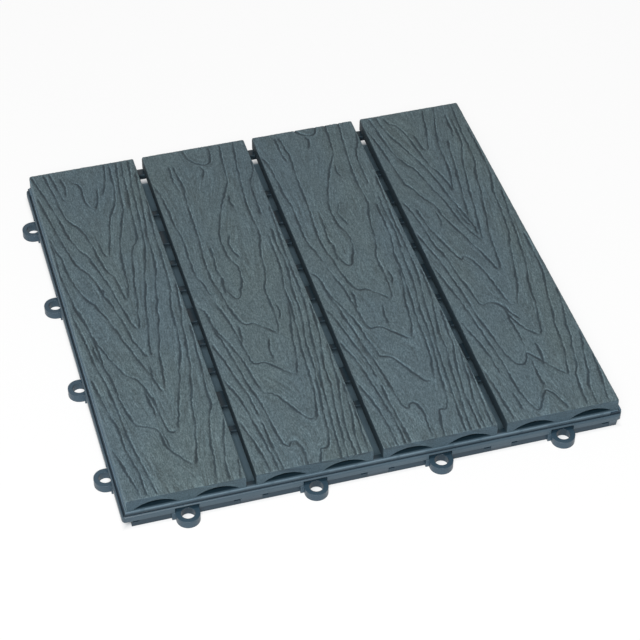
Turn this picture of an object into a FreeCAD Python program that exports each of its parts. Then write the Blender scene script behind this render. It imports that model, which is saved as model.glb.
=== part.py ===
# Interlocking deck tile: four composite slats screwed onto one moulded plastic base grid.
# Millimetres. X runs across the slats, Y along them away from the front edge, Z up.
# The origin is the centre of the tile's laying pitch, on the underside.
import FreeCAD, Part
import math
import os

V = FreeCAD.Vector

# Laying pitch, the seam between two laid tiles, and the deck of slats inside the tile's edges
tile_pitch = 300.0
tile_seam = 0.4
slat_count = 4
slat_gap = 5.5
slat_thickness = 9.0
deck_margin = 2.55
deck_shift_x = 0.6
deck_shift_y = 0.2

# Section of a slat: two arches between a middle foot and two outer feet
middle_foot_width = 8.2
outer_foot_width = 3.05
arch_height = 5.3
slat_top_round = 1.7
slat_foot_chamfer = 0.4

# Base grid: its height, its rim, and how far the far edge stays behind the other three
base_height = 11.0
far_edge_setback = 3.0
rim_width = 6.8
rim_top_thickness = 2.0
flange_height = 5.8
flange_corner_radius = 3.0
flange_edge_round = 1.2
flange_foot_round = 0.4
bead_steps = 3

# Skirt, below the flange
loop_skirt_inset = 1.4
peg_skirt_inset = 2.7
skirt_wall = 1.7
corner_notch = 4.0

# Stepped top of the rim on the loop sides: a bead below the lip that the slats stand on, and a groove
# between them, measured inwards from the flange's outer face
bead_drop = 1.5
groove_floor_outer = 1.5
groove_floor_inner = 2.0
groove_inner = 2.6
groove_depth = 1.9

# Pads and drain slots along the loop-side skirts
pad_width = 12.5
pad_setback = 0.3
slot_width = 3.6
slot_height = 1.2
slot_drop = 1.0
slot_to_pad = 0.3
slot_to_corner = 0.8
corner_post = 5.0

# Lattice of ribs, and the bars and wider plates that cross each slat gap
cells_per_slat = 3
rib_thickness = 1.8
long_rib_bottom = 1.5
cross_rib_bottom = 3.0
bar_width = 3.8
plate_width = 12.3
bar_thickness = 2.0
bar_rows = (1, 2, 4)
plate_rows = (0, 3)

# Connectors: loops on the left and front edges, pegs on the right and far edges
connector_count = 4
loop_overhang = 1.8
loop_radius = 6.95
loop_hole_radius = 4.1
loop_height = 5.0
peg_clearance = 0.5
peg_floor_gap = 0.5
nub_width = 2.0
nub_reach = 1.7

# Hollow above each loop, which takes the next tile's peg tab
tab_pocket_width = 14.0
tab_pocket_depth = 4.3
tab_pocket_roof = 2.3
tab_pocket_wall = 1.6

# Tab that carries a peg, and the pocket around it that takes the next tile's loop
tab_width = 10.6
tab_thickness = 2.2
tab_corner_cut = 2.4
tab_edge_chamfer = 0.8
loop_pocket_clearance = 1.5
loop_pocket_roof = 2.1
loop_pocket_wall = 1.6

# Screws, driven from below through square bosses, which are also the feet of the lattice
screws_per_slat = 3
cells_per_screw_row = 4
screw_radius = 1.9
screw_head_radius = 3.8
screw_head_height = 2.2
screw_head_recess = 2.8
screw_cover = 2.5
screw_clearance = 0.05
pilot_end_gap = 0.5
head_clearance = 0.4
boss_wall = 1.6
drive_width = 4.0
drive_depth = 1.2

# How far a cutting solid runs past the face that it opens
overcut = 1.0

# Derived sizes
tile_size = tile_pitch - tile_seam
loop_side_reach = tile_size / 2
right_side_reach = tile_size / 2
far_side_reach = tile_size / 2 - far_edge_setback
slat_length = tile_size - 2 * deck_margin
slat_width = (slat_length + slat_gap) / slat_count - slat_gap
slat_pitch = slat_width + slat_gap
arch_half_width = (slat_width - middle_foot_width - 2 * outer_foot_width) / 4
arch_offset = middle_foot_width / 2 + arch_half_width
cell = slat_pitch / cells_per_slat
connector_pitch = tile_pitch / connector_count
loop_axis_reach = loop_side_reach + loop_overhang
flange_bottom = base_height - flange_height
loop_skirt_face = loop_side_reach - loop_skirt_inset
right_skirt_face = right_side_reach - peg_skirt_inset
far_skirt_face = far_side_reach - peg_skirt_inset
loop_skirt_inside = loop_skirt_face - skirt_wall
peg_axis_reach = tile_pitch - loop_axis_reach
peg_radius = loop_hole_radius - peg_clearance
tab_reach = peg_axis_reach + peg_radius
loop_pocket_radius = loop_radius + loop_pocket_clearance
loop_pocket_height = flange_bottom
tab_pocket_floor = loop_side_reach - tab_pocket_depth
tab_pocket_top = base_height - tab_pocket_roof
screw_seat = screw_head_recess + screw_head_height
screw_end = base_height + slat_thickness - screw_cover
head_recess_radius = screw_head_radius + head_clearance
boss_half_width = head_recess_radius + boss_wall
connectors = [(i - (connector_count - 1) / 2) * connector_pitch for i in range(connector_count)]
gap_centres = [(i - (slat_count - 2) / 2) * slat_pitch for i in range(slat_count - 1)]
slat_centres = [(i - (slat_count - 1) / 2) * slat_pitch for i in range(slat_count)]
screw_rows = [(i - (screws_per_slat - 1) / 2) * cells_per_screw_row * cell for i in range(screws_per_slat)]
screw_places = [(x, y) for x in slat_centres for y in screw_rows]


def block(x0, x1, y0, y1, z0, z1):
    return Part.makeBox(x1 - x0, y1 - y0, z1 - z0, V(x0, y0, z0))


def drum(x, y, z0, z1, radius):
    return Part.makeCylinder(radius, z1 - z0, V(x, y, z0))


def across_diagonal(shape):
    """The same feature on the neighbouring side: X and Y change places."""
    return shape.mirror(V(0, 0, 0), V(1, -1, 0))


def both_sides(shapes):
    """Features of the front or far edge, with their twins on the left or right edge."""
    return shapes + [across_diagonal(s) for s in shapes]


def fused(shapes):
    return shapes[0].multiFuse(shapes[1:]).removeSplitter()


def edges_along_z(shape, test):
    """The vertical edges of a shape whose plan position passes the test."""
    found = []
    for edge in shape.Edges:
        start = edge.Vertexes[0].Point
        end = edge.Vertexes[-1].Point
        if abs(start.x - end.x) < 1e-6 and abs(start.y - end.y) < 1e-6 and test(start):
            found.append(edge)
    return found


def swept_rim(section, corner, ends):
    """A rim profile carried along two sides of the tile, mitred at the corner between them.

    The section is drawn as (depth behind the flange's outer face, height) on the side along X.
    """
    x, y = corner
    path = Part.makePolygon([V(ends[0], y, 0), V(x, y, 0), V(x, ends[1], 0)])
    inwards = -1 if y > 0 else 1
    points = [V(ends[0], y + inwards * depth, z) for depth, z in section]
    profile = Part.makePolygon(points + points[:1])
    sweep = Part.BRepOffsetAPI.MakePipeShell(path)
    sweep.setTransitionMode(1)
    sweep.add(profile)
    sweep.build()
    sweep.makeSolid()
    return sweep.shape()


def rounded_outline(z0, z1):
    """The tile's plan outline as a prism with rounded corners, to trim the mitred rim."""
    low = -loop_side_reach
    prism = block(low, right_side_reach, low, far_side_reach, z0, z1)
    return prism.makeFillet(flange_corner_radius, edges_along_z(prism, lambda p: True))


def bead(top):
    """The flange's rounded outer top edge as a short run of section points, from its face inwards."""
    crown = flange_edge_round
    steps = [i * math.pi / 2 / bead_steps for i in range(bead_steps + 1)]
    return [(crown * (1 - math.cos(a)), top - crown * (1 - math.sin(a))) for a in steps]


def loop_side_section():
    """Skirt, overhanging flange with a rounded bead, groove and higher inner lip."""
    skirt_inside = loop_skirt_inset + skirt_wall
    groove_floor = base_height - groove_depth
    return [
        (skirt_inside, 0),
        (loop_skirt_inset, 0),
        (loop_skirt_inset, flange_bottom),
        (flange_foot_round, flange_bottom),
        (0, flange_bottom + flange_foot_round),
    ] + bead(base_height - bead_drop) + [
        (groove_floor_outer, groove_floor),
        (groove_floor_inner, groove_floor),
        (groove_inner, base_height),
        (rim_width, base_height),
        (rim_width, base_height - rim_top_thickness),
        (skirt_inside, base_height - rim_top_thickness),
    ]


def peg_side_section():
    """Skirt set back under a plain flange with a flat top."""
    skirt_inside = peg_skirt_inset + skirt_wall
    return [
        (skirt_inside, 0),
        (peg_skirt_inset, 0),
        (peg_skirt_inset, flange_bottom),
        (0, flange_bottom),
    ] + bead(base_height) + [
        (rim_width, base_height),
        (rim_width, base_height - rim_top_thickness),
        (skirt_inside, base_height - rim_top_thickness),
    ]


def rim():
    """Skirt and flange on all four sides, open at the near-left corner of the skirt."""
    low = -loop_side_reach - overcut
    right = right_side_reach + overcut
    far = far_side_reach + overcut
    loop_corner = (-loop_side_reach, -loop_side_reach)
    peg_corner = (right_side_reach, far_side_reach)
    loop_sides = swept_rim(loop_side_section(), loop_corner, peg_corner)
    peg_sides = swept_rim(peg_side_section(), peg_corner, (-loop_skirt_face, -loop_skirt_face))
    inner = -loop_skirt_inside + corner_notch
    skirt_corner = block(-loop_skirt_face, inner, -loop_skirt_face, inner, 0, flange_bottom)
    under_flange = [
        block(right_skirt_face, right, low, far, -overcut, flange_bottom),
        block(low, right, far_skirt_face, far, -overcut, flange_bottom),
    ]
    whole = fused([loop_sides, peg_sides, skirt_corner])
    return whole.common(rounded_outline(0, base_height)).cut(under_flange)


def lattice():
    """Deep ribs along the slats, deep ribs across under each slat, thin bars across the gaps."""
    low = -loop_skirt_inside - skirt_wall / 2
    right = right_skirt_face - skirt_wall / 2
    far = far_skirt_face - skirt_wall / 2
    half_rib = rib_thickness / 2
    corridor = cell / 2
    lines = slat_count * cells_per_slat
    long_ribs = [(i - (lines - 1) / 2) * cell for i in range(lines)]
    cross_ribs = [(i - (lines - 2) / 2) * cell for i in range(lines - 1)]
    ribs = [block(x - half_rib, x + half_rib, low, far, long_rib_bottom, base_height) for x in long_ribs]
    starts = [low] + [x + corridor for x in gap_centres]
    stops = [x - corridor for x in gap_centres] + [right]
    for y in cross_ribs:
        for x0, x1 in zip(starts, stops):
            ribs.append(block(x0, x1, y - half_rib, y + half_rib, cross_rib_bottom, base_height))
    halves = {row: bar_width / 2 for row in bar_rows}
    halves.update({row: plate_width / 2 for row in plate_rows})
    bar_bottom = base_height - bar_thickness
    for x in gap_centres:
        for row, half in halves.items():
            for y in {row * cell, -row * cell}:
                ribs.append(block(x - corridor, x + corridor, y - half, y + half, bar_bottom, base_height))
    return ribs


def skirt_wedge(x0, x1):
    """A stretch of front skirt that leans out, from its foot to just behind the flange's face."""
    outline = [
        V(x0, -loop_skirt_inside, 0),
        V(x0, -loop_skirt_face, 0),
        V(x0, -loop_side_reach + pad_setback, flange_bottom),
        V(x0, -loop_skirt_inside, flange_bottom),
    ]
    return Part.Face(Part.makePolygon(outline + outline[:1])).extrude(V(x1 - x0, 0, 0))


def front_skirt_pads():
    """Leaning pads in line with the slat gaps, and the post at the far end of the skirt."""
    pads = [skirt_wedge(x - pad_width / 2, x + pad_width / 2) for x in gap_centres]
    pads.append(skirt_wedge(right_skirt_face - corner_post, right_skirt_face))
    return pads


def front_skirt_slots():
    """Small drain slots below the flange, beside each pad and at both ends."""
    half = slot_width / 2
    top = flange_bottom - slot_drop
    beside_pad = pad_width / 2 + slot_to_pad + half
    centres = [x + side * beside_pad for x in gap_centres for side in (-1, 1)]
    centres.append(-loop_skirt_face + corner_notch + slot_to_corner + half)
    centres.append(right_skirt_face - corner_post - slot_to_pad - half)
    outer = -loop_side_reach - overcut
    inner = -loop_skirt_inside + overcut
    return [
        block(x - half, x + half, outer, inner, top - slot_height, top)
        for x in centres
    ]


def front_loop(x):
    """One connector loop: a thick ring on the floor with arms back to the skirt, and a nub beside it."""
    axis = -loop_axis_reach
    inside = -loop_skirt_inside - skirt_wall / 2
    arms = block(x - loop_radius, x + loop_radius, axis, inside, 0, loop_height)
    ring = drum(x, axis, 0, loop_height, loop_radius)
    nub_end = -loop_skirt_face - nub_reach
    nub = block(x - loop_radius - nub_width, x - loop_radius, nub_end, -loop_skirt_face, 0, flange_bottom)
    return [ring.fuse(arms), nub]


def loop_hole(x):
    return drum(x, -loop_axis_reach, -overcut, loop_height + overcut, loop_hole_radius)


def tab_pocket_shell(x):
    """Walls that close the hollow above a loop from behind."""
    half = tab_pocket_width / 2 + tab_pocket_wall
    front = -loop_skirt_inside - skirt_wall / 2
    back = -tab_pocket_floor + tab_pocket_wall
    return block(x - half, x + half, front, back, loop_height - tab_pocket_wall, base_height)


def tab_pocket(x):
    half = tab_pocket_width / 2
    outer = -loop_side_reach - overcut
    return block(x - half, x + half, outer, -tab_pocket_floor, loop_height, tab_pocket_top)


def horseshoe(x, radius, reach, z0, z1):
    """A round-backed slot shape around a peg's axis, open towards the tile's edge."""
    round_back = drum(x, peg_axis_reach, z0, z1, radius)
    mouth = block(x - radius, x + radius, peg_axis_reach, reach, z0, z1)
    return round_back.fuse(mouth)


def loop_pocket_shell(x, skirt_face):
    """Curved wall and roof of the pocket that takes the next tile's loop."""
    outer = loop_pocket_radius + loop_pocket_wall
    top = loop_pocket_height + loop_pocket_roof
    shell = horseshoe(x, outer, peg_axis_reach + outer, 0, top)
    return shell.common(block(x - outer, x + outer, 0, skirt_face, 0, top))


def loop_pocket(x):
    reach = peg_axis_reach + loop_pocket_radius
    return horseshoe(x, loop_pocket_radius, reach, -overcut, loop_pocket_height)


def peg(x, skirt_face):
    """The peg on its tab, which sticks out of the flange."""
    tab_top = loop_pocket_height + tab_thickness
    half = tab_width / 2
    tab = block(x - half, x + half, skirt_face - skirt_wall, tab_reach, loop_pocket_height, tab_top)
    tab = tab.makeChamfer(tab_corner_cut, edges_along_z(tab, lambda p: p.y > tab_reach - overcut))
    outer_top = [
        e for e in tab.Edges
        if e.BoundBox.ZMin > tab_top - overcut and e.BoundBox.YMin > tab_reach - overcut
    ]
    tab = tab.makeChamfer(tab_edge_chamfer, outer_top)
    shank = drum(x, peg_axis_reach, peg_floor_gap, loop_pocket_height + tab_thickness / 2, peg_radius)
    return [tab, shank]


def corridor_exit(x, skirt_face):
    """Opening in the far skirt where the corridor below a slat gap runs out of the tile."""
    half = cell / 2 - rib_thickness / 2
    inside = skirt_face - skirt_wall - overcut
    return block(x - half, x + half, inside, skirt_face + overcut, -overcut, flange_bottom)


def peg_side(skirt_face):
    """What the far edge adds, what is cut from it, and its pegs; the right edge is its twin."""
    shells = [loop_pocket_shell(x, skirt_face) for x in connectors]
    cuts = [corridor_exit(x, skirt_face) for x in gap_centres] + [loop_pocket(x) for x in connectors]
    pegs = []
    for x in connectors:
        pegs += peg(x, skirt_face)
    return shells, cuts, pegs


def base_grid():
    front = front_skirt_pads()
    front_cuts = front_skirt_slots()
    for x in connectors:
        front += front_loop(x)
        front.append(tab_pocket_shell(x))
        front_cuts += [loop_hole(x), tab_pocket(x)]
    far_shells, far_cuts, far_pegs = peg_side(far_skirt_face)
    right_shells, right_cuts, right_pegs = [
        [across_diagonal(s) for s in shapes] for shapes in peg_side(right_skirt_face)
    ]
    bosses = []
    holes = []
    half = boss_half_width
    for x, y in screw_places:
        bosses.append(block(x - half, x + half, y - half, y + half, 0, base_height))
        holes.append(drum(x, y, -overcut, screw_seat, head_recess_radius))
        holes.append(drum(x, y, 0, base_height + overcut, screw_radius + screw_clearance))
    body = fused([rim()] + lattice() + bosses + both_sides(front) + far_shells + right_shells)
    outer = -loop_side_reach
    inner = -loop_skirt_face + corner_notch
    notch = block(outer, inner, outer, inner, 0, flange_bottom)
    body = body.cut(both_sides(front_cuts) + far_cuts + right_cuts + holes + [notch])
    return body.multiFuse(far_pegs + right_pegs)


def slat_section():
    """Closed outline of a slat's end: square top corners, and two arches along the underside."""
    half = slat_width / 2
    bottom = base_height
    top = base_height + slat_thickness
    stops = [V(-half, 0, bottom)]
    edges = []
    for centre in (-arch_offset, arch_offset):
        left = V(centre - arch_half_width, 0, bottom)
        right = V(centre + arch_half_width, 0, bottom)
        edges.append(Part.LineSegment(stops[-1], left).toShape())
        edges.append(Part.Arc(left, V(centre, 0, bottom + arch_height), right).toShape())
        stops.append(right)
    corners = [stops[-1], V(half, 0, bottom), V(half, 0, top), V(-half, 0, top), V(-half, 0, bottom)]
    for start, end in zip(corners, corners[1:]):
        edges.append(Part.LineSegment(start, end).toShape())
    return Part.Face(Part.Wire(edges))


def outer_edges(plank, height):
    """The two long edges of a plank at a height, at its left and right sides."""
    half = slat_width / 2
    return [
        e for e in plank.Edges
        if abs(e.BoundBox.ZMin - height) + abs(e.BoundBox.ZMax - height) < 1e-3
        and abs(abs(e.CenterOfMass.x) - half) < 1e-3
    ]


def deck_slat(index):
    """One plank with rounded top edges, and blind pilot holes for its screws in the middle foot."""
    plank = slat_section().extrude(V(0, slat_length, 0))
    plank = plank.makeFillet(slat_top_round, outer_edges(plank, base_height + slat_thickness))
    plank = plank.makeChamfer(slat_foot_chamfer, outer_edges(plank, base_height))
    x = slat_centres[index]
    plank.translate(V(x + deck_shift_x, deck_shift_y - slat_length / 2, 0))
    pilot = screw_radius + screw_clearance
    start = base_height - overcut
    return plank.cut([drum(x, y, start, screw_end + pilot_end_gap, pilot) for y in screw_rows])


def screw(x, y):
    """A pan-head screw standing head down, with a square recess in its head."""
    head = drum(x, y, screw_head_recess, screw_seat, screw_head_radius)
    shank = drum(x, y, screw_seat, screw_end, screw_radius)
    half = drive_width / 2
    drive_end = screw_head_recess + drive_depth
    recess = block(x - half, x + half, y - half, y + half, screw_head_recess - overcut, drive_end)
    return head.fuse(shank).cut(recess)


def slat_screws():
    return Part.makeCompound([screw(x, y) for x, y in screw_places])


def write(name, shape):
    shape.exportStep("parts/" + name + ".step")
    print(name, "solids", len(shape.Solids), "valid", shape.isValid(), "volume", round(shape.Volume, 1))


os.makedirs("parts", exist_ok=True)
write("base_grid", base_grid())
for number in range(slat_count):
    write("deck_slat_%d" % (number + 1), deck_slat(number))
write("slat_screws", slat_screws())
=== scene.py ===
"""The looks of the deck tile: four wood-grained slats on a moulded plastic base.

The slats are meshes with the embossed grain cut into them. The grain is drawn as strokes, each a
list of points (millimetres from the near end, millimetres from the left edge) on the slat's top.
"""

import math

import bpy
import numpy as np
from mathutils import Matrix, Vector


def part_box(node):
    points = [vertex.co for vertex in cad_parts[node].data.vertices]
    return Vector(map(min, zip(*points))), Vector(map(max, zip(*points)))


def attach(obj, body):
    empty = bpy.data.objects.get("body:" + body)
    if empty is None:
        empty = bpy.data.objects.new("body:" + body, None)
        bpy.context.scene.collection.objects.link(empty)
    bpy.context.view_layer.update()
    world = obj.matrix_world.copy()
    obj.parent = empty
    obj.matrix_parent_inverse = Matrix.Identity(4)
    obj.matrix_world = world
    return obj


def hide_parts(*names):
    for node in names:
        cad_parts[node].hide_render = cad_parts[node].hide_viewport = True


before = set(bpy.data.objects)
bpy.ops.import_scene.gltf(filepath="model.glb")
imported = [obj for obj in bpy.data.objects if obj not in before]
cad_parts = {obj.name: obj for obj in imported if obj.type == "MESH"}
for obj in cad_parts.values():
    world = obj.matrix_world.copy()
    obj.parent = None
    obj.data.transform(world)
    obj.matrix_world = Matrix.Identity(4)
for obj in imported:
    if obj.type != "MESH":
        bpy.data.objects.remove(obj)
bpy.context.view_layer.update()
MM = 0.001
TINY = 1e-6
WHITE = (1, 1, 1, 1)

# Camera, as the photograph shows the tile
CAMERA_PLACE = (-0.267955, -0.936666, 0.906142)
CAMERA_AZIMUTH = 16.443
CAMERA_ELEVATION = -43.307
CAMERA_ROLL = 0.496
CAMERA_LENS = 119.93
CAMERA_SENSOR = 36

# Slat section, in millimetres
TOP_ROUND = 0.9
FOOT_ROUND = 0.4
MIDDLE_FOOT = 8.2
OUTER_FOOT = 3.05
ARCH_HEIGHT = 5.3
END_BEVEL = 0.25

# Slat mesh: lengths in millimetres, numbers of steps, and from what angle an edge is sharp
STEP_ACROSS = 0.4
STEP_ALONG = 0.66
STROKE_STEP = 0.5
ROWS_PER_UNDERSIDE_ROW = 15
FOOT_STEPS = 2
SIDE_STEPS = 8
ROUND_STEPS = 5
ARCH_STEPS = 12
SHARP_ANGLE = 50

# Grooves, lengths in millimetres: each has a long slope on its near left side, and on the other
# side a short one under a raised lip, which ends where another groove crosses it
GROOVE_DEPTH = 0.5
GROOVE_HALF_WIDTH = 1.15
GROOVE_LEAN = 0.4
GROOVE_POWER = 1.2
LIP_HEIGHT = 0.14
LIP_WIDTH = 0.8
LIP_FADE = 2
LEAN_ALONG = 0.6
LEAN_ACROSS = 0.8
WOBBLE = 0.32
WOBBLE_STEP = 1.5
# A groove fades over the taper at both ends of its stroke, to this share of its depth
STROKE_TAPER = 3.0
STROKE_END = 0.3
# Its depth and width come and go in waves: (height, millimetres for each radian)
MEAN_DEPTH = 0.82
DEPTH_WAVES = [(0.2, 7), (0.14, 2.6)]
WIDTH_WAVES = [(0.22, 5), (0.12, 1.7)]
WAVE_START = 6
WIDEST = 1.4

# Fine streaks that flow along the strokes near by, stronger and weaker in patches
STREAK_DEPTH = 0.09
STREAK_REACH = 9
STREAK_STEP = 0.6
STREAK_SPREAD = 2
STREAK_MEAN = 0.75
STREAK_SWING = 0.45
STREAK_PATCH = (22, 9)
FLOW_KNOTS_ALONG = 60
FLOW_KNOTS_ACROSS = 30
FLOW_EVERY = 4
FLOW_STRETCH = 0.3
FLOW_BLUR = 2

# Pits, and how far down the rounded edges the whole grain reaches and fades
PIT_DEPTH = 0.08
PIT_CELL = (1.3, 0.8)
GRAIN_DOWN = 1
GRAIN_FADE = 2

# Length, width and start of the area that random values cover, in millimetres, and spare cells
NOISE_SPAN = (400, 200)
NOISE_START = (-50, -60)
NOISE_SPARE = 3


def grey(value):
    return value, value, value


# Noise in the materials: scale, stretch along x, y and z, and detail
SLAT_FINE = (1900, (1, 0.35, 1), 3.0)
SLAT_BROAD = (28, (1, 0.4, 1), 4.0)
SLAT_SPECKS = (2600, (1, 0.8, 1), 2.0)
BASE_FINE = (1400, (1, 1, 1), 4.0)
BASE_BROAD = (25, (1, 1, 1), 2.0)
SCREW_FINE = (2500, (1, 1, 0.3), 4.0)

# Slats: ramps of (place, colour), which are multiplied
SLAT_TONES = [(0.34, (0.042, 0.069, 0.080)), (0.66, (0.110, 0.155, 0.175))]
STREAK_TONES = [(0.0, grey(1.3)), (1.0, grey(0.62))]
BROAD_TONES = [(0.36, (1.045, 1.025, 0.98)), (0.64, (0.97, 0.99, 1.02))]
# Grooves: painted shade in the grooves, together with a darker tint of their own
GROOVE_SHADE_AND_TINT = [(0.05, grey(1.0)), (0.6, (0.22, 0.27, 0.31))]
# Lips: a painted highlight on the raised lips beside the grooves
LIP_HIGHLIGHT_TONES = [(0.1, grey(1.0)), (0.8, grey(1.55))]
SPECK_TONES = [(0.38, grey(0.82)), (0.62, grey(1.18))]
# By how far a face looks sideways: painted shade on the sides that face a gap, a painted sheen on
# the two outer sides of the tile, which begin at a distance from its middle, and painted shade on
# the ends
GAP_SIDE_SHADE = [(0.75, grey(1.0)), (0.97, (0.20, 0.28, 0.33))]
OUTER_SIDE_SHEEN = [(0.6, grey(1.0)), (0.97, (1.25, 1.4, 1.48))]
OUTER_SIDE = (0.13, 0.14)
END_SHADE = [(0.8, grey(1.0)), (0.95, (0.54, 0.64, 0.73))]
SLAT_ROUGHNESS = (0.55, 0.8)
SLAT_SPECULAR = 0.4
SLAT_BUMP = (0.8, 0.0004)

# Base
BASE_TONES = [(0.3, (0.060, 0.094, 0.120)), (0.7, (0.078, 0.117, 0.146))]
BASE_ROUGHNESS = (0.3, 0.42)
BASE_SPECULAR = 0.35
BASE_BUMP = (0.1, 0.0002)
EDGE_SOFTNESS = 0.00045
EDGE_SAMPLES = 6
# Painted shade on its rim, by the distance from the tile's middle, from the lip's inside to the
# flange's outside:
# lip, groove and flange above the flange's lower edge, with the groove darkest, skirt and loops
# below it, with the skirt darkest
RIM = (0.145, 0.152)
RIM_SPLIT = 0.0051
UPPER_RIM_SHADE = [(0.25, grey(0.8)), (0.29, grey(0.85)), (0.36, grey(0.85)),
               (0.41, (0.09, 0.14, 0.18)), (0.50, (0.09, 0.14, 0.18)),
               (0.56, (0.52, 0.6, 0.64)), (0.67, (0.52, 0.6, 0.64)), (0.71, grey(0.88))]
LOWER_RIM_SHADE = [(0.2, grey(0.8)), (0.3, (0.2, 0.3, 0.36)), (0.54, (0.2, 0.3, 0.36)),
               (0.6, (0.46, 0.57, 0.64))]
# The top edge of the lip gets a painted highlight, between these heights
RIM_EDGE_HIGHLIGHT_HEIGHT = (0.0102, 0.0107)
RIM_EDGE_HIGHLIGHT_TONES = [(0.0, grey(1.0)), (1.0, grey(1.75))]
# What lies under the deck gets painted shade, apart from what faces down
UNDER_DECK_SHADE = [(0.07, (0.08, 0.13, 0.15)), (0.29, grey(1.0))]
UNDER_DECK_SHADE_FACING = (-0.6, 0.4)

# Screws
SCREW_TONES = [(0.3, (0.50, 0.51, 0.52)), (0.7, (0.66, 0.67, 0.68))]
SCREW_ROUGHNESS = (0.25, 0.4)

# Floor: a plain pale sheet that keeps the tile's shadow, with a painted bluish shadow under the
# tile
FLOOR_HALF = 6.0
FLOOR_DROP = 0.0002
FLOOR_SHADOW_PATCH = (0.1435, 0.1515)
FLOOR_AND_SHADOW_TONES = [(0.0, (0.103, 0.165, 0.205)), (0.8, grey(0.9))]
FLOOR_WHITE = 0.88
FLOOR_ROUGHNESS = 0.9

# World: its strength as a light, where the camera sees it at 1
WORLD_FILL = 0.22

# Lamps: name, azimuth and elevation that it shines from, distance, side length, watts
LIGHTS = [
    ("key_light", 200, 44, 1.6, 0.6, 29),
    ("left_light", 300, 22, 1.6, 0.5, 1.5),
]

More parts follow.
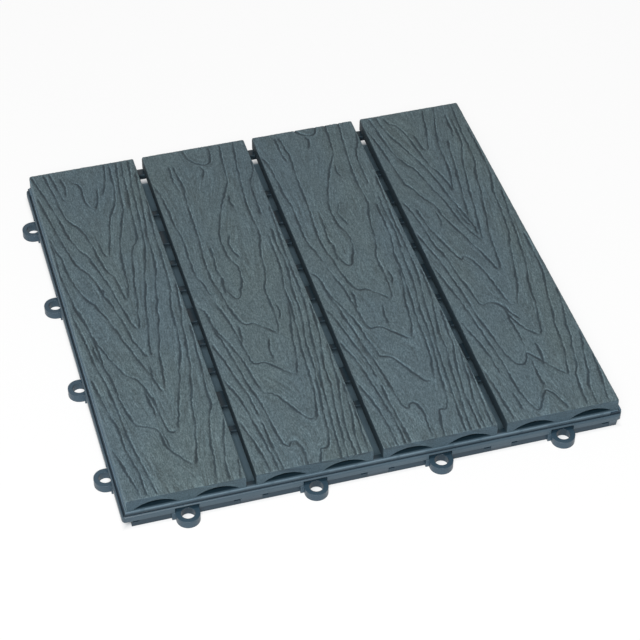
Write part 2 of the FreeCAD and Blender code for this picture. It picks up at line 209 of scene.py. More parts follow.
# Strokes of the first slat
GRAIN_A = [
    [(0, 66), (6, 67.2), (16, 68.8)],
    [(0, 60.5), (13, 60.6), (22, 62.5), (30, 63.8), (40, 66.5), (49, 68.6)],
    [(0, 52.6), (10, 54), (20, 55.6), (30, 56.3), (40, 58.2), (50, 60.4), (56, 62.5), (61, 64.3),
     (70, 64.2), (80, 65), (90, 65.9), (110, 67), (132, 68.4)],
    [(17, 44.5), (20, 45.6), (26, 46.8), (31, 48.2), (40, 49.5), (47, 51.5), (55, 52.4), (63, 53.2),
     (70, 54.6), (77, 56.4), (88, 58.3), (95, 60), (106, 61), (120, 62.9), (131, 63.7), (141, 65.2),
     (152, 66.8), (170, 68.7)],
    [(46, 40.8), (51, 42.2), (56, 43.8), (65, 45.6), (72, 47.6), (81, 49.9), (88, 51.9), (96, 53.4),
     (101, 55), (105, 56.6), (117, 58.4), (130, 59.8), (141, 60.2), (150, 61.1), (158, 62.5),
     (166, 64.3), (180, 65.1), (200, 65.8), (222, 66.3), (240, 67.9), (252, 68.8)],
    [(79, 41), (90, 42.7), (103, 44), (112, 44.9), (121, 47.2), (133, 49.3), (140, 51.3),
     (150, 52.1), (155, 53.9), (170, 55.9), (179, 58.3), (190, 60.2), (203, 61.1), (217, 61.1),
     (227, 62.8), (242, 64.2), (260, 66), (280, 67.6)],
    [(109, 40), (120, 40.6), (127, 42.2), (137, 43.9), (150, 45.5), (163, 48), (172, 50.1),
     (180, 51.2), (188, 53.6), (197, 55.6), (203, 57), (214, 58.5), (230, 59.8), (248, 61.2),
     (268, 62.5), (280, 64.1), (294, 65.6)],
    [(134, 38), (142, 39.4), (150, 40.1), (157, 41.8), (172, 43.4), (183, 45.4), (193, 47),
     (202, 48.2), (208, 50.3), (213, 53.3), (219, 55.2), (232, 56.1), (248, 56.9), (262, 58.4),
     (280, 59.4), (294, 61)],
    [(161, 36.7), (168, 38.3), (177, 40), (190, 40.4), (203, 41.8), (214, 43.2), (222, 45.4),
     (231, 47.8), (238, 50), (248, 52.3), (262, 53.8), (278, 55.4), (294, 57.5)],
    [(204, 34.4), (211, 35.6), (218, 37.6), (225, 39.2), (233, 40.5), (241, 42.8), (246, 45),
     (251, 47.4), (258, 49.4), (268, 50.9), (280, 51.6), (292, 52.6)],
    [(250, 35.2), (256, 37.4), (262, 38.9), (271, 40)],
    [(262, 42.2), (269, 44.4), (277, 46.8), (286, 48.4), (294, 49.4)],
    [(17, 44.5), (18.5, 42), (22, 39.2), (26, 37), (29, 34.6), (34, 32.2), (41, 30.8), (48, 30.2),
     (51, 28), (53, 25), (54.5, 21.5), (56, 18.6), (61, 17.1), (68, 15.4), (78, 13.8), (90, 13),
     (100, 12.2), (106, 10.9), (124, 10), (136, 8.7), (148, 7.2), (156, 5.2), (168, 3.6),
     (186, 1.8), (200, 0.6)],
    [(46, 40.8), (45.4, 38), (46.8, 35.6), (52, 34.5), (60, 33.8), (72, 33), (79, 31.2), (88, 29),
     (93, 26.4), (96, 23.6), (98.5, 20.8), (104, 18.7), (112, 15.6), (119, 13.6), (127, 11),
     (136, 9), (150, 7.4), (161, 5)],
    [(79, 41.2), (80.2, 38.8), (85, 37.5), (92, 36.3), (100, 33.7), (109, 31.2), (118, 29),
     (127, 26), (133, 25.4), (141, 22.8), (149, 21.2), (156, 18.2), (163, 16), (168, 12.9),
     (174, 10.2), (183, 8), (192, 6.1), (207, 5.2), (217, 3), (230, 0.9)],
    [(109, 38.8), (112.5, 36), (119, 34), (128, 31.6), (140, 30.2), (150, 28.1), (161, 26.2),
     (169, 23.4), (177, 22.2), (186, 20.1), (192, 17.8), (197, 14.7), (203, 12.2), (214, 9.9),
     (229, 7.3), (246, 4.9), (258, 3.1), (272, 1)],
    [(134, 38), (137, 35.6), (144, 33.8), (156, 31.7), (165, 29.9), (176, 28.6), (187, 26),
     (197, 23.6), (207, 21.2), (214, 17.6), (221, 15.3), (230, 12.9), (242, 11.2), (252, 9.6),
     (263, 7.4), (275, 5.2), (287, 2.4), (294, 1)],
    [(161, 36.7), (165, 35.3), (175, 34.2), (184, 33.1), (189, 30.5), (196, 28.7), (209, 26.9),
     (221, 25.2), (230, 23.2), (237, 20.6), (241, 17.5), (247, 14.8), (256, 13.4), (271, 12.1),
     (284, 10.3), (294, 9.2)],
    [(204, 34.4), (205, 32.1), (210, 30.9), (221, 29.9)],
    [(250, 35.2), (252, 33), (257, 31), (264, 30), (274, 30.3), (279, 28), (280.5, 25)],
    [(0, 19.2), (6, 17.6), (16, 16.3), (25, 15.2), (36, 13.3), (46, 12), (60, 11.2), (78, 10.1),
     (91, 9), (100, 7.6), (111, 5.7), (126, 4.6), (142, 2.8), (160, 0.8)],
    [(0, 13), (9, 12.3), (21, 11.8), (30, 10), (40, 8.6), (57, 7.8), (65, 6.1), (76, 4.3),
     (88, 2.6), (101, 0.6)],
    [(0, 8.5), (9, 7.9), (17, 6.1), (28, 4), (42, 1)],
    [(84, 13.2), (96, 12.8), (103, 11.2), (116, 8.6), (128, 7.4)],
    [(32, 33.3), (40, 32.9), (49, 31.3)],
    [(60, 31.2), (67, 31), (75, 29.8), (86, 29.7)],
    [(88, 35.5), (95, 36.6), (103, 36.9)],
    [(166, 22.7), (173, 24), (176, 22.9)],
    [(262, 18), (270, 16.2), (281, 14.8), (294, 12.8)],
    [(268, 19.4), (278, 20.3), (288, 19)],
    [(196, 1), (214, 1.4), (226, 0.7)],
]

# Strokes of the second and third slats, which share one pattern. It lies further along on the third
# one, by this many millimetres
GRAIN_B_SHIFT = 11
GRAIN_B = [
    [(-12, 66.4), (10, 67), (24, 67.8), (42, 69)],
    [(-12, 61.6), (4, 62), (16, 63), (27, 65), (40, 66.5), (58, 68.5)],
    [(-12, 58.8), (8, 59), (20, 59), (30, 60.3), (45, 62.7), (52, 64.2), (61, 66.1), (72, 66.5),
     (92, 68.7)],
    [(-12, 53.2), (6, 54.4), (20, 56), (40, 58.1), (50, 59.6), (58, 60.9), (71, 61), (80, 62.6),
     (91, 64.3), (101, 66.2), (112, 67.3), (130, 68.4)],
    [(-12, 49.8), (8, 51.2), (30, 53.1), (50, 55), (61, 55.9), (70, 57.6), (79, 59.1), (95, 60.5),
     (110, 62.6), (122, 64.4), (132, 65.3), (150, 65.8), (180, 66.1), (198, 67.1), (225, 68.2)],
    [(-12, 37), (0, 38.4), (6, 39.9), (10, 41.2), (10, 44.8), (15, 47.1), (23, 48.8), (40, 50.6),
     (51, 52.2), (65, 53.9), (74, 55.3), (90, 56.1), (101, 57.2), (113, 59.3), (126, 60.6),
     (146, 61.3), (160, 62.8)],
    [(33, 45.3), (38, 46.6), (44, 47.7), (54, 49.6), (70, 51.1), (90, 52.3), (102, 53.6),
     (118, 55.3), (134, 56.5), (146, 56.6), (154, 57.9), (164, 59.4), (182, 60), (198, 60.3)],
    [(71, 43.8), (76, 45.2), (82, 47), (92, 48.5), (103, 50), (113, 52), (122, 53.9), (134, 55.4)],
    [(108, 41.8), (110.5, 43.6), (118, 44.4), (130, 45.1), (143, 44.8), (151, 45.6), (157, 47.7),
     (166, 49.5), (179, 50.9), (189, 52.8), (197, 54.8), (207, 55), (222, 54.5), (238, 55.1),
     (252, 56.5), (268, 58.2), (282, 60), (294, 61.6)],
    [(216, 60.9), (234, 61.4), (246, 62), (253, 63.5), (258, 66), (264, 67.8), (272, 69)],
    [(-12, 30.3), (0, 30.6), (10, 31.2), (16, 30), (19.5, 28.3), (19, 25.8), (16.5, 24), (19, 21.4),
     (27, 19.9), (40, 18.7), (52, 17.4), (63, 15.6), (72, 13.6), (84, 12.3), (97, 10.2), (109, 8.7),
     (118, 6.6), (131, 5.2)],
    [(33, 45.3), (34, 42), (35.6, 39.9), (40, 37.2), (47, 33.6), (54, 30), (58, 27.7), (60.6, 24.5),
     (62, 21), (67, 19.8), (78, 17.8), (92, 15.8), (102, 13.3), (111, 10.6), (117, 8.2), (125, 6),
     (136, 5), (141, 3), (144, 0.6)],
    [(71, 43.8), (73.5, 40.7), (76.5, 37.6), (80, 34.4), (83.8, 31), (86.4, 27.2), (86.4, 23),
     (90, 20.7), (102, 19.2), (114, 17.9), (126, 16.6), (137, 14), (147, 12.2)],
    [(108, 41.8), (112, 39), (116.5, 34.4), (120.6, 30), (121.3, 25.6), (125, 23), (132, 21),
     (141, 19), (152, 18), (160, 16.2), (170, 15.3), (184, 15.4), (204, 16.9), (226, 17.5),
     (244, 18.2), (258, 19.4), (268, 18.3), (280, 17.3)],
    [(150, 20.8), (165, 22), (158, 21.3), (150, 23.2), (145.6, 25.3), (144.8, 27.6), (147, 29.3),
     (151.5, 30.4), (156, 32.5), (164, 33.9), (173, 34), (179, 31.8), (187, 30.2), (200, 29.8),
     (208, 31.2), (218, 34), (229, 37.7), (238, 41), (246, 44.6), (253, 47.6), (264, 49.2),
     (279, 50.5), (294, 52.5)],
    [(165, 22), (173, 20.4), (184, 21.6), (196, 22)],
    [(294, 44.6), (284, 43.9), (277.5, 42), (275.5, 38.5), (277.5, 34.5), (281, 31), (286, 28.4),
     (294, 27.4)],
    [(-12, 17), (6, 15.9), (20, 14.8), (40, 13.9)],
    [(-12, 13.8), (8, 13.2), (20, 11.8), (32, 10.6), (41, 9.2), (53, 7.7), (64, 5.5), (73, 2.7),
     (80, 0.8)],
    [(-12, 9), (8, 8), (21, 6.4), (31, 4.2), (44, 1)],
    [(44, 13.4), (60, 12.1), (71, 9.8), (84, 7.3), (96, 5), (110, 1.4)],
    [(150, 12), (163, 9.4), (172, 7), (189, 6.6), (207, 7), (221, 5.3), (240, 4.4), (254, 3.2),
     (262, 1)],
    [(104, 19), (112, 20.6), (121, 21)],
    [(228, 46), (235, 45), (242, 46)],
    [(262, 33), (270, 36), (276, 34)],
    [(150, 62.2), (166, 63.6), (186, 63.2), (204, 63.8)],
    [(86, 34.4), (96, 34), (106, 36)],
    [(120, 46.8), (127, 48.6), (134, 48)],
    [(180, 37.6), (193, 34), (204, 36.6)],
    [(252, 16.2), (264, 14.6), (280, 14.9)],
]

# Strokes of the fourth slat
GRAIN_C = [
    [(0, 63), (10, 64.4), (20, 66.2), (32, 67.7), (42, 68.7)],
    [(0, 55.8), (10, 56.4), (19, 57.4), (26, 60.3), (34, 61.8), (45, 64.3), (53, 66.8), (62, 68.4)],
    [(0, 50), (11, 51), (22, 52), (28, 53.2), (34, 56), (42, 57.4), (50, 59), (58, 61.3),
     (70, 62.6), (79, 65), (92, 67.4), (102, 68.5)],
    [(27, 48.4), (34, 49.8), (41, 51.6), (50, 53.6), (60, 55), (73, 56.4), (80, 58.4), (90, 59.7),
     (101, 61.8), (109, 63.8), (119, 65.8), (134, 66.3), (156, 67)],
    [(64, 44), (68, 46.2), (75, 47.6), (85, 49.6), (91, 51.1), (102, 52.3), (113, 54.3),
     (122, 56.6), (133, 59), (146, 60.6), (157, 62.4), (170, 63.4), (184, 65.6), (200, 67.6)],
    [(92, 40.3), (99, 42), (105, 44.3), (112, 46.7), (122, 48.9), (132, 51.3), (142, 53.3),
     (149, 55.1), (156, 57.4), (168, 59.2), (184, 60.8), (200, 62.1), (209, 64.3), (220, 66.4),
     (240, 67.3), (268, 67.5)],
    [(126, 40.6), (132, 42.2), (142, 43.4), (156, 44.8), (166, 46.5), (176, 49.3), (190, 51.5),
     (200, 53.8), (212, 55.7), (222, 57.4), (231, 60.3), (244, 61.5), (262, 62), (277, 63.2),
     (294, 64.7)],
    [(155, 39.4), (164, 40.8), (176, 43), (190, 45.4), (202, 46.7), (214, 49.2), (226, 51.2),
     (236, 53.3), (245, 56.2), (253, 58.4), (266, 59.4), (280, 59.7)],
    [(180, 37.6), (186, 39.6), (197, 40.6), (205, 42.4), (220, 44.5), (234, 46.8), (247, 48.3),
     (258, 50.6)],
    [(258, 54.6), (268, 56.3), (285, 57)],
    [(205, 37), (214, 38.4), (222, 40.5), (233, 41.6), (250, 42.4), (262, 44.3), (274, 47),
     (284, 49.6), (294, 51.6)],
    [(250, 33.2), (254, 35.6), (262, 37.5), (272, 40), (283, 41.9), (294, 44.5)],
    [(0, 39.2), (5, 38.3), (11, 35.8), (16.5, 33.8), (19.4, 31), (15, 28), (10, 25), (5.5, 22.4),
     (6.5, 19.8), (14, 17.3), (23, 15.6), (36, 14.7), (50, 13.9), (66, 12), (81, 10.4), (96, 8.5),
     (108, 7), (119, 4.9), (131, 2.9), (140, 1)],
    [(27, 48.4), (31, 45.8), (35, 42.4), (41, 38.6), (47, 34.8), (51.6, 31), (47, 29), (43.4, 26.2),
     (44, 22.6), (49, 19.8), (58, 17.6), (72, 15.7), (86, 13.4), (98, 12), (110, 11.3), (124, 9.4),
     (138, 7.8), (148, 6), (160, 3.4), (172, 1)],
    [(22, 31.8), (34, 31.2), (46, 31.9)],
    [(38, 37.2), (46, 38.6), (60, 39.2)],
    [(57, 31.4), (67, 32), (80, 31.2), (88, 31.4)],
    [(64, 44), (67.5, 40.6), (72, 37.2), (78, 34.6), (86, 32), (93, 30.9), (97, 28.4), (99.4, 24),
     (98.6, 19.6), (103, 17.3), (115, 16), (126, 13.8), (141, 12.4), (151, 10.8), (160, 8.4),
     (175, 6.8), (190, 5), (204, 2)],
    [(80, 38), (84.5, 35.2), (89, 33.2), (95, 32)],
    [(92, 40.3), (95, 36.4), (100, 34.6), (113, 32.8), (124, 31), (134, 28.6), (141, 25.8),
     (144, 23), (142, 20.8), (147, 18.2), (155, 15.9), (163, 13.8), (172, 11.2), (184, 9.4),
     (196, 7.8)],
    [(126, 40.6), (129, 38.6), (136, 37), (146, 34.5), (154, 31.6), (166, 28.4), (175, 25.3),
     (184, 22.6), (194, 21.1), (200, 18.6), (207, 15), (215, 12.3), (221, 9.2), (234, 7.4),
     (250, 5.8), (266, 3.9), (282, 1.3)],
    [(155, 39.4), (160, 36.8), (168, 33.8), (177, 31.4), (192, 29.5), (203, 27.2), (212, 24.7),
     (224, 22.1), (234, 19.7), (241, 15.6), (250, 12.2), (262, 9.5), (278, 7.9), (294, 5.8)],
    [(180, 37.6), (187, 35.4), (198, 33.2), (212, 31), (224, 29), (236, 26.2), (247, 22.7),
     (257, 19.6), (267, 16.2), (277, 13.2), (294, 10.4)],
    [(205, 37), (216, 35.9), (226, 33.8), (235, 30.6), (247, 28.5), (261, 26.8), (273, 24.6),
     (281, 21.5), (284, 18), (291, 15.6)],
    [(250, 33.2), (255, 31.3), (269, 30)],
    [(7, 12.6), (24, 11.5)],
    [(0, 5.6), (12, 4.4), (28, 3.1), (44, 1)],
    [(38, 9.9), (52, 8.9), (64, 7.3), (76, 4.4), (88, 1.6)],
    [(160, 38.6), (172, 38.4), (184, 35.6)],
    [(170, 36.4), (180, 34), (190, 32.9)],
    [(190, 19.4), (182, 19.9), (174, 18.4)],
]

GRAINS = {
    "deck_slat_1": (GRAIN_A, 0),
    "deck_slat_2": (GRAIN_B, 0),
    "deck_slat_3": (GRAIN_B, GRAIN_B_SHIFT),
    "deck_slat_4": (GRAIN_C, 0),
}


# A smooth line through a stroke's points, one point about every half millimetre
def smooth_stroke(points, shift):
    p = np.array(points, float)
    p = np.vstack([2 * p[0] - p[1], p, 2 * p[-1] - p[-2]])
    line = []
    for a, b, c, d in zip(p[:-3], p[1:-2], p[2:-1], p[3:]):
        steps = max(2, int(np.hypot(*(c - b)) / STROKE_STEP))
        t = np.arange(steps)[:, None] / steps
        line.append(0.5 * (2 * b + (c - a) * t + (2 * a - 5 * b + 4 * c - d) * t ** 2
                           + (3 * b - a - 3 * c + d) * t ** 3))
    line = np.vstack(line + [p[-2:-1]])
    line[:, 0] += shift
    return line


# Length walked along a line up to each of its points
def walked(line):
    return np.concatenate([[0], np.cumsum(np.hypot(*np.diff(line, axis=0).T))])


# Small sideways steps that make a groove ragged, like those pressed from real wood
def wobble(line, walk, rng):
    knots = np.arange(0, walk[-1] + 2 * WOBBLE_STEP, WOBBLE_STEP)
    offset = np.interp(walk, knots, rng.uniform(-WOBBLE, WOBBLE, len(knots)))
    way = np.gradient(line, axis=0)
    way /= np.maximum(np.hypot(*way.T), TINY)[:, None]
    return np.column_stack([-way[:, 1], way[:, 0]]) * offset[:, None]


# A value that comes and goes in waves along a stroke
def in_waves(mean, waves, starts, walk):
    for (height, length), start in zip(waves, starts):
        mean = mean + height * np.sin(walk / length + start)
    return mean


# Depth of the grooves and height of their lips at each point of a grid of (along, across) places
def groove_field(along, across, strokes, shift, rng):
    grooves = np.zeros((len(along), len(across)))
    lips = np.zeros_like(grooves)
    reach = WIDEST * (GROOVE_HALF_WIDTH + GROOVE_LEAN) + LIP_WIDTH
    for stroke in strokes:
        line = smooth_stroke(stroke, shift)
        walk = walked(line)
        line += wobble(line, walk, rng)
        start = rng.uniform(0, WAVE_START, 3)
        depths = in_waves(MEAN_DEPTH, DEPTH_WAVES, start[:2], walk)
        depths *= np.clip(np.minimum(walk, walk[-1] - walk) / STROKE_TAPER, STROKE_END, 1)
        widths = in_waves(1, WIDTH_WAVES, (start[2], start[0]), walk)
        for a, b, full_depth, full_width in zip(line[:-1], line[1:], depths, widths):
            low, high = np.minimum(a, b) - reach, np.maximum(a, b) + reach
            i0, i1 = np.searchsorted(along, (low[0], high[0]))
            j0, j1 = np.searchsorted(across, (low[1], high[1]))
            if i0 == i1 or j0 == j1:
                continue
            y, x = along[i0:i1, None], across[None, j0:j1]
            d = b - a
            t = np.clip(((y - a[0]) * d[0] + (x - a[1]) * d[1]) / (d @ d), 0, 1)
            off_y, off_x = y - a[0] - t * d[0], x - a[1] - t * d[1]
            away = np.hypot(off_y, off_x)
            lean = (off_y * LEAN_ALONG + off_x * LEAN_ACROSS) / np.maximum(away, TINY)
            width = (GROOVE_HALF_WIDTH - GROOVE_LEAN * lean) * full_width
            depth = full_depth * np.clip(1 - away / width, 0, 1) ** GROOVE_POWER
            lip = (full_depth * np.clip(lean, 0, 1)
                   * np.clip(1 - abs(away - width) / LIP_WIDTH, 0, 1))
            grooves[i0:i1, j0:j1] = np.maximum(grooves[i0:i1, j0:j1], depth)
            lips[i0:i1, j0:j1] = np.maximum(lips[i0:i1, j0:j1], lip)
    return grooves, lips * np.clip(1 - LIP_FADE * grooves, 0, 1)


# Values between the knots of a grid: i and j are the knot before, fu and fv the way on from it
def between(grid, i, j, fu, fv):
    return ((grid[i, j] * (1 - fu) + grid[i + 1, j] * fu) * (1 - fv)
            + (grid[i, j + 1] * (1 - fu) + grid[i + 1, j + 1] * fu) * fv)


# Direction of the strokes near each point of a grid, as an angle from the slat's length
def flow_angle(along, across, strokes, shift):
    marks = []
    for stroke in strokes:
        line = smooth_stroke(stroke, shift)[::FLOW_EVERY]
        way = np.diff(line, axis=0)
        twice = 2 * np.arctan2(way[:, 1], way[:, 0])
        marks.append(np.column_stack([line[:-1], np.cos(twice), np.sin(twice)]))
    marks = np.vstack(marks)
    knots_along = np.linspace(along[0], along[-1], FLOW_KNOTS_ALONG)
    knots_across = np.linspace(across[0], across[-1], FLOW_KNOTS_ACROSS)
    dy = knots_along[:, None, None] - marks[:, 0]
    dx = knots_across[None, :, None] - marks[:, 1]
    weight = 1 / (FLOW_STRETCH * dy ** 2 + dx ** 2 + FLOW_BLUR) ** 2
    u = np.interp(along, knots_along, np.arange(FLOW_KNOTS_ALONG))
    v = np.interp(across, knots_across, np.arange(FLOW_KNOTS_ACROSS))
    i = np.minimum(u.astype(int), FLOW_KNOTS_ALONG - 2)
    j = np.minimum(v.astype(int), FLOW_KNOTS_ACROSS - 2)
    place = i[:, None], j[None, :], (u - i)[:, None], (v - j)[None, :]
    cos2, sin2 = [between((weight * marks[:, k]).sum(2), *place) for k in (2, 3)]
    return np.arctan2(sin2, cos2) / 2


# Fine streaks: random values smeared along the direction of the strokes
def flow_streaks(along, across, strokes, shift, rng):
    angle = flow_angle(along, across, strokes, shift)
    di = np.cos(angle) * STREAK_STEP / (along[1] - along[0])
    dj = np.sin(angle) * STREAK_STEP / np.diff(across).mean()
    noise = rng.uniform(-1, 1, angle.shape)
    noise[:, 1:] += noise[:, :-1]
    total = noise.copy()
    last_row, last_column = angle.shape[0] - 1, angle.shape[1] - 1
    for sign in (1, -1):
        ii, jj = np.indices(angle.shape)
        row, column = ii.astype(float), jj.astype(float)
        for _ in range(STREAK_REACH):
            row += sign * di[ii, jj]
            column += sign * dj[ii, jj]
            ii = np.clip(np.rint(row).astype(int), 0, last_row)
            jj = np.clip(np.rint(column).astype(int), 0, last_column)
            total += noise[ii, jj]
    return np.clip(total / total.std() / STREAK_SPREAD, -1, 1)


# Smooth random values on a grid, with cells of a given size
def value_noise(along, across, cell_along, cell_across, rng):
    cells = int(NOISE_SPAN[0] / cell_along), int(NOISE_SPAN[1] / cell_across)
    grid = rng.uniform(-1, 1, (cells[0] + NOISE_SPARE, cells[1] + NOISE_SPARE))
    u = (along - NOISE_START[0]) / cell_along
    v = (across - NOISE_START[1]) / cell_across
    i = np.clip(np.floor(u).astype(int), 0, grid.shape[0] - 2)
    j = np.clip(np.floor(v).astype(int), 0, grid.shape[1] - 2)
    fu, fv = u - i, v - j
    return between(grid, i, j, fu * fu * (3 - 2 * fu), fv * fv * (3 - 2 * fv))


# How far the grain sinks the surface at each point of a grid, with its grooves, lips and streaks
def grain(along, across, strokes, shift, rng):
    grooves, lips = groove_field(along, across, strokes, shift, rng)
    yy, xx = np.meshgrid(along, across, indexing="ij")
    streaks = flow_streaks(along, across, strokes, shift, rng)
    streaks = streaks * (STREAK_MEAN + STREAK_SWING * value_noise(yy, xx, *STREAK_PATCH, rng))
    pits = value_noise(yy, xx, *PIT_CELL, rng)
    rest_sink = LIP_HEIGHT + STREAK_DEPTH + PIT_DEPTH
    sink = (rest_sink + GROOVE_DEPTH * grooves - LIP_HEIGHT * lips + STREAK_DEPTH * streaks
            + PIT_DEPTH * pits)
    return sink, {"groove": grooves, "lip": lips, "streak": streaks}


# Points of an arc, by angles in degrees, without the last one
def arc(centre_x, centre_z, radius, first, last, steps):
    angles = [math.radians(first + (last - first) * k / steps) for k in range(steps)]
    return [(centre_x + radius * math.cos(a), centre_z + radius * math.sin(a)) for a in angles]


# The part of a slat's section that has the top: from the left foot over the top to the right foot
def upper_section(width, height):
    half = width / 2
    points = arc(-half + FOOT_ROUND, FOOT_ROUND, FOOT_ROUND, 270, 180, FOOT_STEPS)
    side = height - TOP_ROUND - FOOT_ROUND
    points += [(-half, FOOT_ROUND + side * k / SIDE_STEPS) for k in range(SIDE_STEPS)]
    points += arc(-half + TOP_ROUND, height - TOP_ROUND, TOP_ROUND, 180, 90, ROUND_STEPS)
    flat = width - 2 * TOP_ROUND
    steps = round(flat / STEP_ACROSS)
    points += [(-half + TOP_ROUND + flat * k / steps, height) for k in range(steps // 2 + 1)]
    mirrored = points[:-1] if steps % 2 == 0 else points
    return points + [(-x, z) for x, z in reversed(mirrored)]


# The underside, from the right foot to the left: two arches between three feet
def lower_section(width):
    chord = (width - MIDDLE_FOOT - 2 * OUTER_FOOT) / 2
    radius = (chord ** 2 / 4 + ARCH_HEIGHT ** 2) / (2 * ARCH_HEIGHT)
    half_angle = math.asin(chord / 2 / radius)
    middle = MIDDLE_FOOT / 2 + chord / 2
    points = []
    for centre in (middle, -middle):
        for k in range(ARCH_STEPS + 1):
            a = half_angle * (1 - 2 * k / ARCH_STEPS)
            z = ARCH_HEIGHT - radius + radius * math.cos(a)
            points.append((centre + radius * math.sin(a), z))
    return points


# The first and last row of a sheet of points drawn in by the bevel
def draw_in_ends(sheet, width, height):
    half = height / 2
    for row in (0, -1):
        sheet[row, :, 0] *= 1 - 2 * END_BEVEL / width
        sheet[row, :, 2] = half + (sheet[row, :, 2] - half) * (1 - 2 * END_BEVEL / height)


# Vertex numbers of a sheet of points, by row and column
def numbered(sheet, start):
    rows, columns = sheet.shape[:2]
    return start + np.arange(rows * columns).reshape(rows, columns)


def quads(index):
    corners = [index[:-1, :-1], index[1:, :-1], index[1:, 1:], index[:-1, 1:]]
    return np.stack(corners, axis=2).reshape(-1, 4).tolist()


# Faces of a slat: its upper and lower sheet, the strips between them at the feet, and the ends. The
# lower sheet has only the rows that coarse names
def slat_faces(upper_index, lower_index, coarse):
    faces = quads(upper_index) + quads(lower_index)
    upper, lower = upper_index.tolist(), lower_index.tolist()
    for k, (r0, r1) in enumerate(zip(coarse[:-1], coarse[1:])):
        right = [row[-1] for row in upper[r0:r1 + 1]]
        left = [row[0] for row in upper[r0:r1 + 1]]
        faces.append(right + [lower[k + 1][0], lower[k][0]])
        faces.append(left[::-1] + [lower[k][-1], lower[k + 1][-1]])
    faces.append(upper[0] + lower[0])
    faces.append((upper[-1] + lower[-1])[::-1])
    return faces


def new_object(name, data):
    thing = bpy.data.objects.new(name, data)
    bpy.context.scene.collection.objects.link(thing)
    return thing


def make_mesh(name, vertices, faces):
    mesh = bpy.data.meshes.new(name)
    mesh.from_pydata(vertices, [], faces)
    mesh.validate()
    return new_object(name, mesh)


# One slat, in the place of its node
def grained_slat(node, seed):
    low, high = (np.array(corner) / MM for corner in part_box(node))
    width, length, height = high - low
    section = np.array(upper_section(width, height))
    tangent = np.gradient(section, axis=0)
    normal = np.column_stack([-tangent[:, 1], tangent[:, 0]])
    normal /= np.hypot(*normal.T)[:, None]
    walk = walked(section)
    across = walk - walk[-1] / 2 + width / 2
    rows = round(length / STEP_ALONG)
    along = np.linspace(0, length, rows + 1)

    strokes, shift = GRAINS[node]
    sink, fields = grain(along, across, strokes, shift, np.random.default_rng(seed))
    on_top = np.clip((section[:, 1] - (height - TOP_ROUND - GRAIN_DOWN)) / GRAIN_FADE, 0, 1)
    sink = np.maximum(sink * on_top, 0)
    x = section[None, :, 0] - normal[None, :, 0] * sink
    z = section[None, :, 1] - normal[None, :, 1] * sink
    upper = np.stack([x, np.broadcast_to(along[:, None], x.shape), z], axis=2)

    coarse = list(range(0, rows, ROWS_PER_UNDERSIDE_ROW)) + [rows]
    underside = np.array(lower_section(width))
    lower = np.stack([np.insert(underside, 1, along[row], axis=1) for row in coarse])
    for sheet in (upper, lower):
        draw_in_ends(sheet, width, height)

    upper_index = numbered(upper, 0)
    faces = slat_faces(upper_index, numbered(lower, upper_index.size), coarse)
    centre = np.array([(low[0] + high[0]) / 2, low[1], low[2]])
    vertices = (np.vstack([upper.reshape(-1, 3), lower.reshape(-1, 3)]) + centre) * MM
    piece = make_mesh(node.replace("deck_slat", "grained_slat"), vertices.tolist(), faces)
    mesh = piece.data
    mesh.polygons.foreach_set("use_smooth", np.ones(len(mesh.polygons), bool))
    mesh.set_sharp_from_angle(angle=math.radians(SHARP_ANGLE))
    for label, field in fields.items():
        values = np.zeros(len(mesh.vertices), np.float32)
        values[:upper_index.size] = (field * on_top).reshape(-1)
        mesh.attributes.new(label, "FLOAT", "POINT").data.foreach_set("value", values)
    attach(piece, "root")
    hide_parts(node)
    return piece


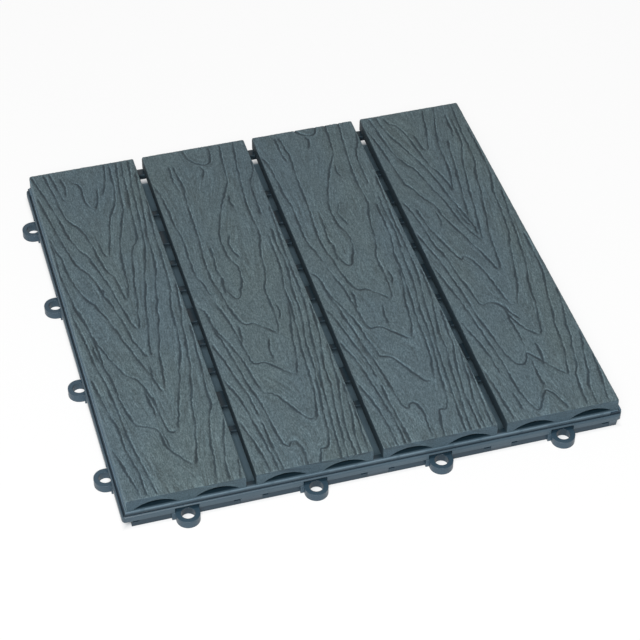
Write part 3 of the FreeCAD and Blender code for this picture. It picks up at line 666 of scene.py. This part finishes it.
# Adds nodes to a material or a world. An input is a plain value or another node's output
class Nodes:
    def __init__(self, owner):
        owner.use_nodes = True
        self.tree = owner.node_tree

    def fill(self, node, inputs):
        for key, value in inputs.items():
            if hasattr(value, "links"):
                self.tree.links.new(value, node.inputs[key])
            else:
                node.inputs[key].default_value = value

    def add(self, kind, inputs=None, **settings):
        node = self.tree.nodes.new(kind)
        for key, value in settings.items():
            setattr(node, key, value)
        self.fill(node, inputs or {})
        return node

    def calc(self, operation, first, second=0.0):
        return self.add("ShaderNodeMath", {0: first, 1: second}, operation=operation).outputs[0]

    # A value from one range brought to another
    def spread(self, value, low, high, to_low=0.0, to_high=1.0):
        inputs = {"Value": value, "From Min": low, "From Max": high, "To Min": to_low,
                  "To Max": to_high}
        return self.add("ShaderNodeMapRange", inputs).outputs[0]

    def noise(self, scale, stretch, detail):
        coords = self.add("ShaderNodeTexCoord").outputs["Object"]
        mapping = self.add("ShaderNodeMapping", {"Vector": coords, "Scale": stretch}).outputs[0]
        inputs = {"Vector": mapping, "Scale": scale, "Detail": detail}
        return self.add("ShaderNodeTexNoise", inputs).outputs[0]

    def ramp(self, value, stops):
        node = self.add("ShaderNodeValToRGB", {"Fac": value})
        elements = node.color_ramp.elements
        for _ in stops[len(elements):]:
            elements.new(0.5)
        for element, (place, colour) in zip(elements, stops):
            element.position = place
            element.color = (*colour, 1)
        return node.outputs[0]

    def mix(self, share, first, second, blend_type="MIX"):
        return self.add("ShaderNodeMix", {0: share, 6: first, 7: second}, data_type="RGBA",
                        blend_type=blend_type).outputs[2]

    def multiplied(self, first, second, share=1.0):
        return self.mix(share, first, second, "MULTIPLY")

    def attribute(self, name):
        return self.add("ShaderNodeAttribute", attribute_name=name).outputs["Fac"]

    def split(self, vector):
        return self.add("ShaderNodeSeparateXYZ", {0: vector}).outputs

    def place(self):
        return self.split(self.add("ShaderNodeTexCoord").outputs["Object"])

    def facing(self):
        return self.split(self.add("ShaderNodeNewGeometry").outputs["Normal"])

    # Distance from the tile's middle, across or along, whichever is more
    def away(self, place):
        ax, ay = self.calc("ABSOLUTE", place[0]), self.calc("ABSOLUTE", place[1])
        return self.calc("MAXIMUM", ax, ay)

    def bump(self, height, strength, distance, **more):
        inputs = {"Height": height, "Strength": strength, "Distance": distance, **more}
        return self.add("ShaderNodeBump", inputs).outputs[0]

    # 1 where the camera sees something, also in metal or through glass, and 0 where it only lights
    def seen(self):
        path = self.add("ShaderNodeLightPath").outputs
        seen = self.calc("MAXIMUM", path["Is Camera Ray"], path["Is Glossy Ray"])
        return self.calc("MAXIMUM", seen, path["Is Transmission Ray"])


def new_material(name):
    material = bpy.data.materials.new(name)
    n = Nodes(material)
    return material, n, n.tree.nodes["Principled BSDF"]


def slat_material():
    material, n, shader = new_material("wood_plastic_composite")
    fine = n.noise(*SLAT_FINE)
    streaks = n.spread(n.attribute("streak"), -1.0, 1.0)
    colour = n.multiplied(n.ramp(fine, SLAT_TONES), n.ramp(streaks, STREAK_TONES))
    colour = n.multiplied(colour, n.ramp(n.noise(*SLAT_BROAD), BROAD_TONES))
    # Painted shade and a darker tint in the grooves
    colour = n.multiplied(colour, n.ramp(n.attribute("groove"), GROOVE_SHADE_AND_TINT))
    # Painted highlight on the lips
    colour = n.multiplied(colour, n.ramp(n.attribute("lip"), LIP_HIGHLIGHT_TONES))
    # Painted shade on the sides facing a gap and on the ends, painted sheen on the tile's two outer
    # sides
    facing = n.facing()
    across, along = n.calc("ABSOLUTE", facing[0]), n.calc("ABSOLUTE", facing[1])
    inner = n.spread(n.calc("ABSOLUTE", n.place()[0]), *OUTER_SIDE, 1.0, 0.0)
    outer = n.calc("SUBTRACT", 1.0, inner)
    colour = n.multiplied(colour, n.ramp(across, GAP_SIDE_SHADE), inner)
    colour = n.multiplied(colour, n.ramp(across, OUTER_SIDE_SHEEN), outer)
    colour = n.multiplied(colour, n.ramp(along, END_SHADE))
    colour = n.multiplied(colour, n.ramp(n.noise(*SLAT_SPECKS), SPECK_TONES))
    n.fill(shader, {
        "Base Color": colour,
        "Roughness": n.spread(fine, 0.0, 1.0, *SLAT_ROUGHNESS),
        "Specular IOR Level": SLAT_SPECULAR,
        "Normal": n.bump(fine, *SLAT_BUMP),
    })
    return material


# Painted shade and a painted highlight on the base, by place
def rim_shade(n):
    place = n.place()
    away = n.spread(n.away(place), *RIM)
    high = n.calc("GREATER_THAN", place[2], RIM_SPLIT)
    # Painted shade along the rim, by the distance from the middle, above and below the flange's
    # lower edge
    tone = n.mix(high, n.ramp(away, LOWER_RIM_SHADE), n.ramp(away, UPPER_RIM_SHADE))
    # Painted highlight on the lip's top edge
    tone = n.multiplied(tone, n.ramp(n.spread(place[2], *RIM_EDGE_HIGHLIGHT_HEIGHT), RIM_EDGE_HIGHLIGHT_TONES))
    # Painted shade under the deck, except on faces that look down
    return n.multiplied(tone, n.ramp(away, UNDER_DECK_SHADE), n.spread(n.facing()[2], *UNDER_DECK_SHADE_FACING))


def base_material():
    material, n, shader = new_material("moulded_plastic")
    fine = n.noise(*BASE_FINE)
    tone = n.ramp(n.noise(*BASE_BROAD), BASE_TONES)
    edges = n.add("ShaderNodeBevel", {"Radius": EDGE_SOFTNESS}, samples=EDGE_SAMPLES).outputs[0]
    n.fill(shader, {
        "Base Color": n.multiplied(tone, rim_shade(n)),
        "Roughness": n.spread(fine, 0.0, 1.0, *BASE_ROUGHNESS),
        "Specular IOR Level": BASE_SPECULAR,
        "Normal": n.bump(fine, *BASE_BUMP, Normal=edges),
    })
    return material


def screw_material():
    material, n, shader = new_material("stainless_steel")
    fine = n.noise(*SCREW_FINE)
    n.fill(shader, {
        "Base Color": n.ramp(fine, SCREW_TONES),
        "Metallic": 1.0,
        "Roughness": n.spread(fine, 0.0, 1.0, *SCREW_ROUGHNESS),
    })
    return material


def dress(node, material):
    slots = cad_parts[node].data.materials
    slots.clear()
    slots.append(material)


def floor_material():
    material, n, shader = new_material("pale_floor")
    away = n.away(n.split(n.add("ShaderNodeNewGeometry").outputs["Position"]))
    # Painted shadow: dark and bluish inside the patch under the tile
    outside = n.spread(away, *FLOOR_SHADOW_PATCH, 0.0, FLOOR_WHITE)
    n.fill(shader, {"Base Color": n.ramp(outside, FLOOR_AND_SHADOW_TONES), "Roughness": FLOOR_ROUGHNESS})
    white = n.add("ShaderNodeEmission", {"Color": WHITE, "Strength": 1.0}).outputs[0]
    share = n.calc("MULTIPLY", n.seen(), outside)
    mixed = n.add("ShaderNodeMixShader", {0: share, 1: shader.outputs[0], 2: white}).outputs[0]
    n.fill(n.tree.nodes["Material Output"], {"Surface": mixed})
    return material


def make_floor():
    h = FLOOR_HALF
    z = -FLOOR_DROP
    floor = make_mesh("floor", [(-h, -h, z), (h, -h, z), (h, h, z), (-h, h, z)], [(0, 1, 2, 3)])
    floor.data.materials.append(floor_material())


def make_world():
    world = bpy.data.worlds.new("studio")
    bpy.context.scene.world = world
    n = Nodes(world)
    strength = n.spread(n.seen(), 0.0, 1.0, WORLD_FILL, 1.0)
    n.fill(n.tree.nodes["Background"], {"Color": WHITE, "Strength": strength})


def make_lights():
    for name, azimuth, elevation, distance, side, power in LIGHTS:
        lamp = bpy.data.lights.new(name, "AREA")
        lamp.shape = "SQUARE"
        lamp.size = side
        lamp.energy = power
        light = new_object(name, lamp)
        a, e = math.radians(azimuth), math.radians(elevation)
        way = Vector((math.sin(a) * math.cos(e), math.cos(a) * math.cos(e), math.sin(e)))
        light.location = way * distance
        light.rotation_euler = way.to_track_quat("Z", "Y").to_euler()


def make_camera():
    lens = bpy.data.cameras.new("camera")
    lens.lens = CAMERA_LENS
    lens.sensor_width = CAMERA_SENSOR
    camera = new_object("camera", lens)
    turn = Matrix.Rotation(math.radians(-CAMERA_AZIMUTH), 4, "Z")
    tilt = Matrix.Rotation(math.radians(90 + CAMERA_ELEVATION), 4, "X")
    roll = Matrix.Rotation(math.radians(CAMERA_ROLL), 4, "Z")
    camera.matrix_world = Matrix.Translation(CAMERA_PLACE) @ turn @ tilt @ roll
    bpy.context.scene.camera = camera


bpy.context.scene.view_settings.view_transform = "Standard"
make_camera()
make_world()
make_lights()
make_floor()
slat_look = slat_material()
for number, node in enumerate(sorted(GRAINS), 1):
    slat = grained_slat(node, number)
    slat.data.materials.append(slat_look)
dress("base_grid", base_material())
dress("slat_screws", screw_material())
